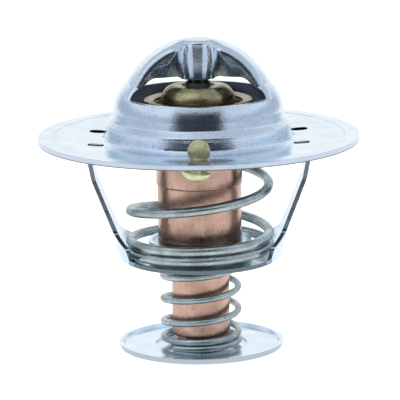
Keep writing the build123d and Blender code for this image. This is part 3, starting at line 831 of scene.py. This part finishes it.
# %% Steels
plain_steel = metal(
    "plain_steel",
    light=(0.50, 0.53, 0.55),
    dark=(0.36, 0.38, 0.40),
    speck=(0.15, 0.16, 0.17),
    edge=(0.7, 0.72, 0.74),
    rough=(0.28, 0.42),
    sizes=(0.004, 0.0004, 0.0002),
    bumps=(0.000005, 0.00003),
    speck_amount=0.4,
)
spring_wire = metal(
    "spring_wire",
    light=(0.56, 0.635, 0.63),
    dark=(0.32, 0.37, 0.365),
    speck=(0.07, 0.08, 0.08),
    edge=(0.40, 0.43, 0.43),
    rough=(0.20, 0.34),
    sizes=(0.003, 0.0003, 0.0003),
    bumps=(0.000006, 0.00002),
    edge_width=0.00008,
    speck_amount=0.5,
)
dark_slate_steel = metal(
    "dark_slate_steel",
    light=(0.10, 0.11, 0.125),
    dark=(0.05, 0.055, 0.065),
    speck=(0.03, 0.03, 0.035),
    edge=(0.2, 0.21, 0.22),
    rough=(0.35, 0.5),
    sizes=(0.003, 0.0003, 0.0002),
    bumps=(0.000004, 0.00002),
)
black_steel = metal(
    "black_steel",
    light=(0.07, 0.075, 0.08),
    dark=(0.025, 0.027, 0.03),
    speck=(0.01, 0.01, 0.01),
    edge=(0.3, 0.31, 0.32),
    rough=(0.22, 0.38),
    sizes=(0.002, 0.0003, 0.0001),
    bumps=(0.000003, 0.00001),
    edge_width=0.00008,
)

# %% [markdown]
# ### Copper
#
# The cup is drawn copper, a little brown with age, with the die's streaks along it. Its rolled rim
# is painted silvery brown, a painted reflection of the grey tent.

# %% Copper
rim_reflection_tone = (0.34, 0.30, 0.245)

copper = metal(
    "drawn_copper",
    light=(0.68, 0.455, 0.365),
    dark=(0.48, 0.305, 0.24),
    speck=(0.16, 0.08, 0.06),
    edge=(0.72, 0.52, 0.43),
    rough=(0.18, 0.31),
    sizes=(0.004, 0.00045, 0.0003),
    bumps=(0.000008, 0.00004),
    speck_amount=0.35,
    marks="Streaks",
)
# The rolled rim's silvery brown is a painted reflection of the grey tent.
ring_tint(copper, rim_reflection_tone, inner=0.0070, outer=0.0094, low=0.0050, high=0.0065)

# %% [markdown]
# ### Brass
#
# The bush round the piston is turned from brass that has dulled to olive, so it carries the fine
# rings. The vent pin is a paler brass, headed and coined. It is so small that the same rings only
# roughen it.

# %% Brass
guide_brass = metal(
    "guide_brass",
    light=(0.50, 0.46, 0.25),
    dark=(0.27, 0.25, 0.135),
    speck=(0.05, 0.045, 0.03),
    edge=(0.5, 0.48, 0.34),
    rough=(0.20, 0.36),
    sizes=(0.0016, 0.00035, 0.0002),
    bumps=(0.000006, 0.00002),
    speck_amount=0.8,
)
vent_brass = metal(
    "vent_brass",
    light=(0.92, 0.90, 0.56),
    dark=(0.68, 0.66, 0.38),
    speck=(0.16, 0.14, 0.07),
    edge=(0.85, 0.83, 0.6),
    rough=(0.26, 0.42),
    sizes=(0.0015, 0.0003, 0.0002),
    bumps=(0.000006, 0.00002),
    edge_width=0.00012,
    speck_amount=0.4,
)

# %% [markdown]
# ### Rubber, plastic and wax
#
# Only slivers of these can be seen, at the piston and when the valve is taken apart. They are
# plain Principled materials with a low sheen, a grain bump and uneven tone.

# %% Soft finishes
grains_in_a_cloud = 8


def soft_finish(name, light, dark, rough, grain_size, grain_height):
    """A matt finish whose tone and gloss follow its clouds, with a grain bump."""
    material = bpy.data.materials.new(name)
    material.use_nodes = True
    net = material.node_tree
    shader = net.nodes["Principled BSDF"]
    sizes = (grain_size * grains_in_a_cloud, grain_size, grain_size)
    surface = place_group(net, surface_group, dict(zip(surface_sizes, sizes)))
    tone = mix_colour(net, surface["Clouds"], dark, light)
    net.links.new(tone, shader.inputs["Base Color"])
    rough_low, rough_high = rough
    roughness = spread(net, surface["Clouds"], 0.0, 1.0, rough_low, rough_high)
    net.links.new(roughness, shader.inputs["Roughness"])
    net.links.new(bump(net, surface["Rings"], grain_height), shader.inputs["Normal"])
    print("soft finish", name)
    return material


rubber = soft_finish(
    "black_rubber",
    light=(0.05, 0.05, 0.05),
    dark=(0.02, 0.02, 0.02),
    rough=(0.45, 0.65),
    grain_size=0.0003,
    grain_height=0.000008,
)
washer_plastic = soft_finish(
    "washer_plastic",
    light=(0.8, 0.79, 0.75),
    dark=(0.7, 0.69, 0.64),
    rough=(0.35, 0.5),
    grain_size=0.0003,
    grain_height=0.000004,
)
wax = soft_finish(
    "copper_wax",
    light=(0.30, 0.17, 0.09),
    dark=(0.18, 0.10, 0.05),
    rough=(0.4, 0.6),
    grain_size=0.0004,
    grain_height=0.00001,
)

# %% [markdown]
# ## Dressing the nodes
#
# A CAD node keeps its mesh, and only the material in its slot changes.

# %% Assign
finishes = {
    "flange_bridge": flange_zinc,
    "lower_frame": frame_zinc,
    "bypass_disc": disc_zinc,
    "main_valve": dark_slate_steel,
    "bypass_stem": plain_steel,
    "stem_clip": plain_steel,
    "main_spring": spring_wire,
    "bypass_spring": spring_wire,
    "wax_cup": copper,
    "guide_cap": guide_brass,
    "jiggle_pin": vent_brass,
    "piston": black_steel,
    "pin_seal": rubber,
    "rubber_boot": rubber,
    "seal_washer": washer_plastic,
    "wax_charge": wax,
}
for node_name, finish in finishes.items():
    for material_slot in nodes[node_name].material_slots:
        material_slot.material = finish
print("dressed", len(finishes), "of", len(nodes), "nodes")

# %% [markdown]
# ## The springs
#
# One end of a spring stands still and the other moves with the valve. The springs are copied from
# their nodes, and each copy rides on one body in place of its node.

# %% Springs
same_place = 1e-7


def squeezed_spring(node_name, body):
    """A copy of a spring's mesh that rides on a body, in place of the spring's own node."""
    wire = bmesh.new()
    wire.from_mesh(nodes[node_name].data)
    bmesh.ops.remove_doubles(wire, verts=wire.verts, dist=same_place)
    data = bpy.data.meshes.new(node_name + "_wire")
    wire.to_mesh(data)
    wire.free()
    data.polygons.foreach_set("use_smooth", [True] * len(data.polygons))
    data.materials.append(spring_wire)
    spring = bpy.data.objects.new(node_name + "_wire", data)
    bpy.context.collection.objects.link(spring)
    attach(spring, body)
    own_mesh(spring)
    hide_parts(node_name)


squeezed_spring("main_spring", "frame")
squeezed_spring("bypass_spring", "element")

# %% [markdown]
# ## Colour
#
# The Standard view transform shows colours as they were written.

# %% Finish
bpy.context.scene.view_settings.view_transform = "Standard"
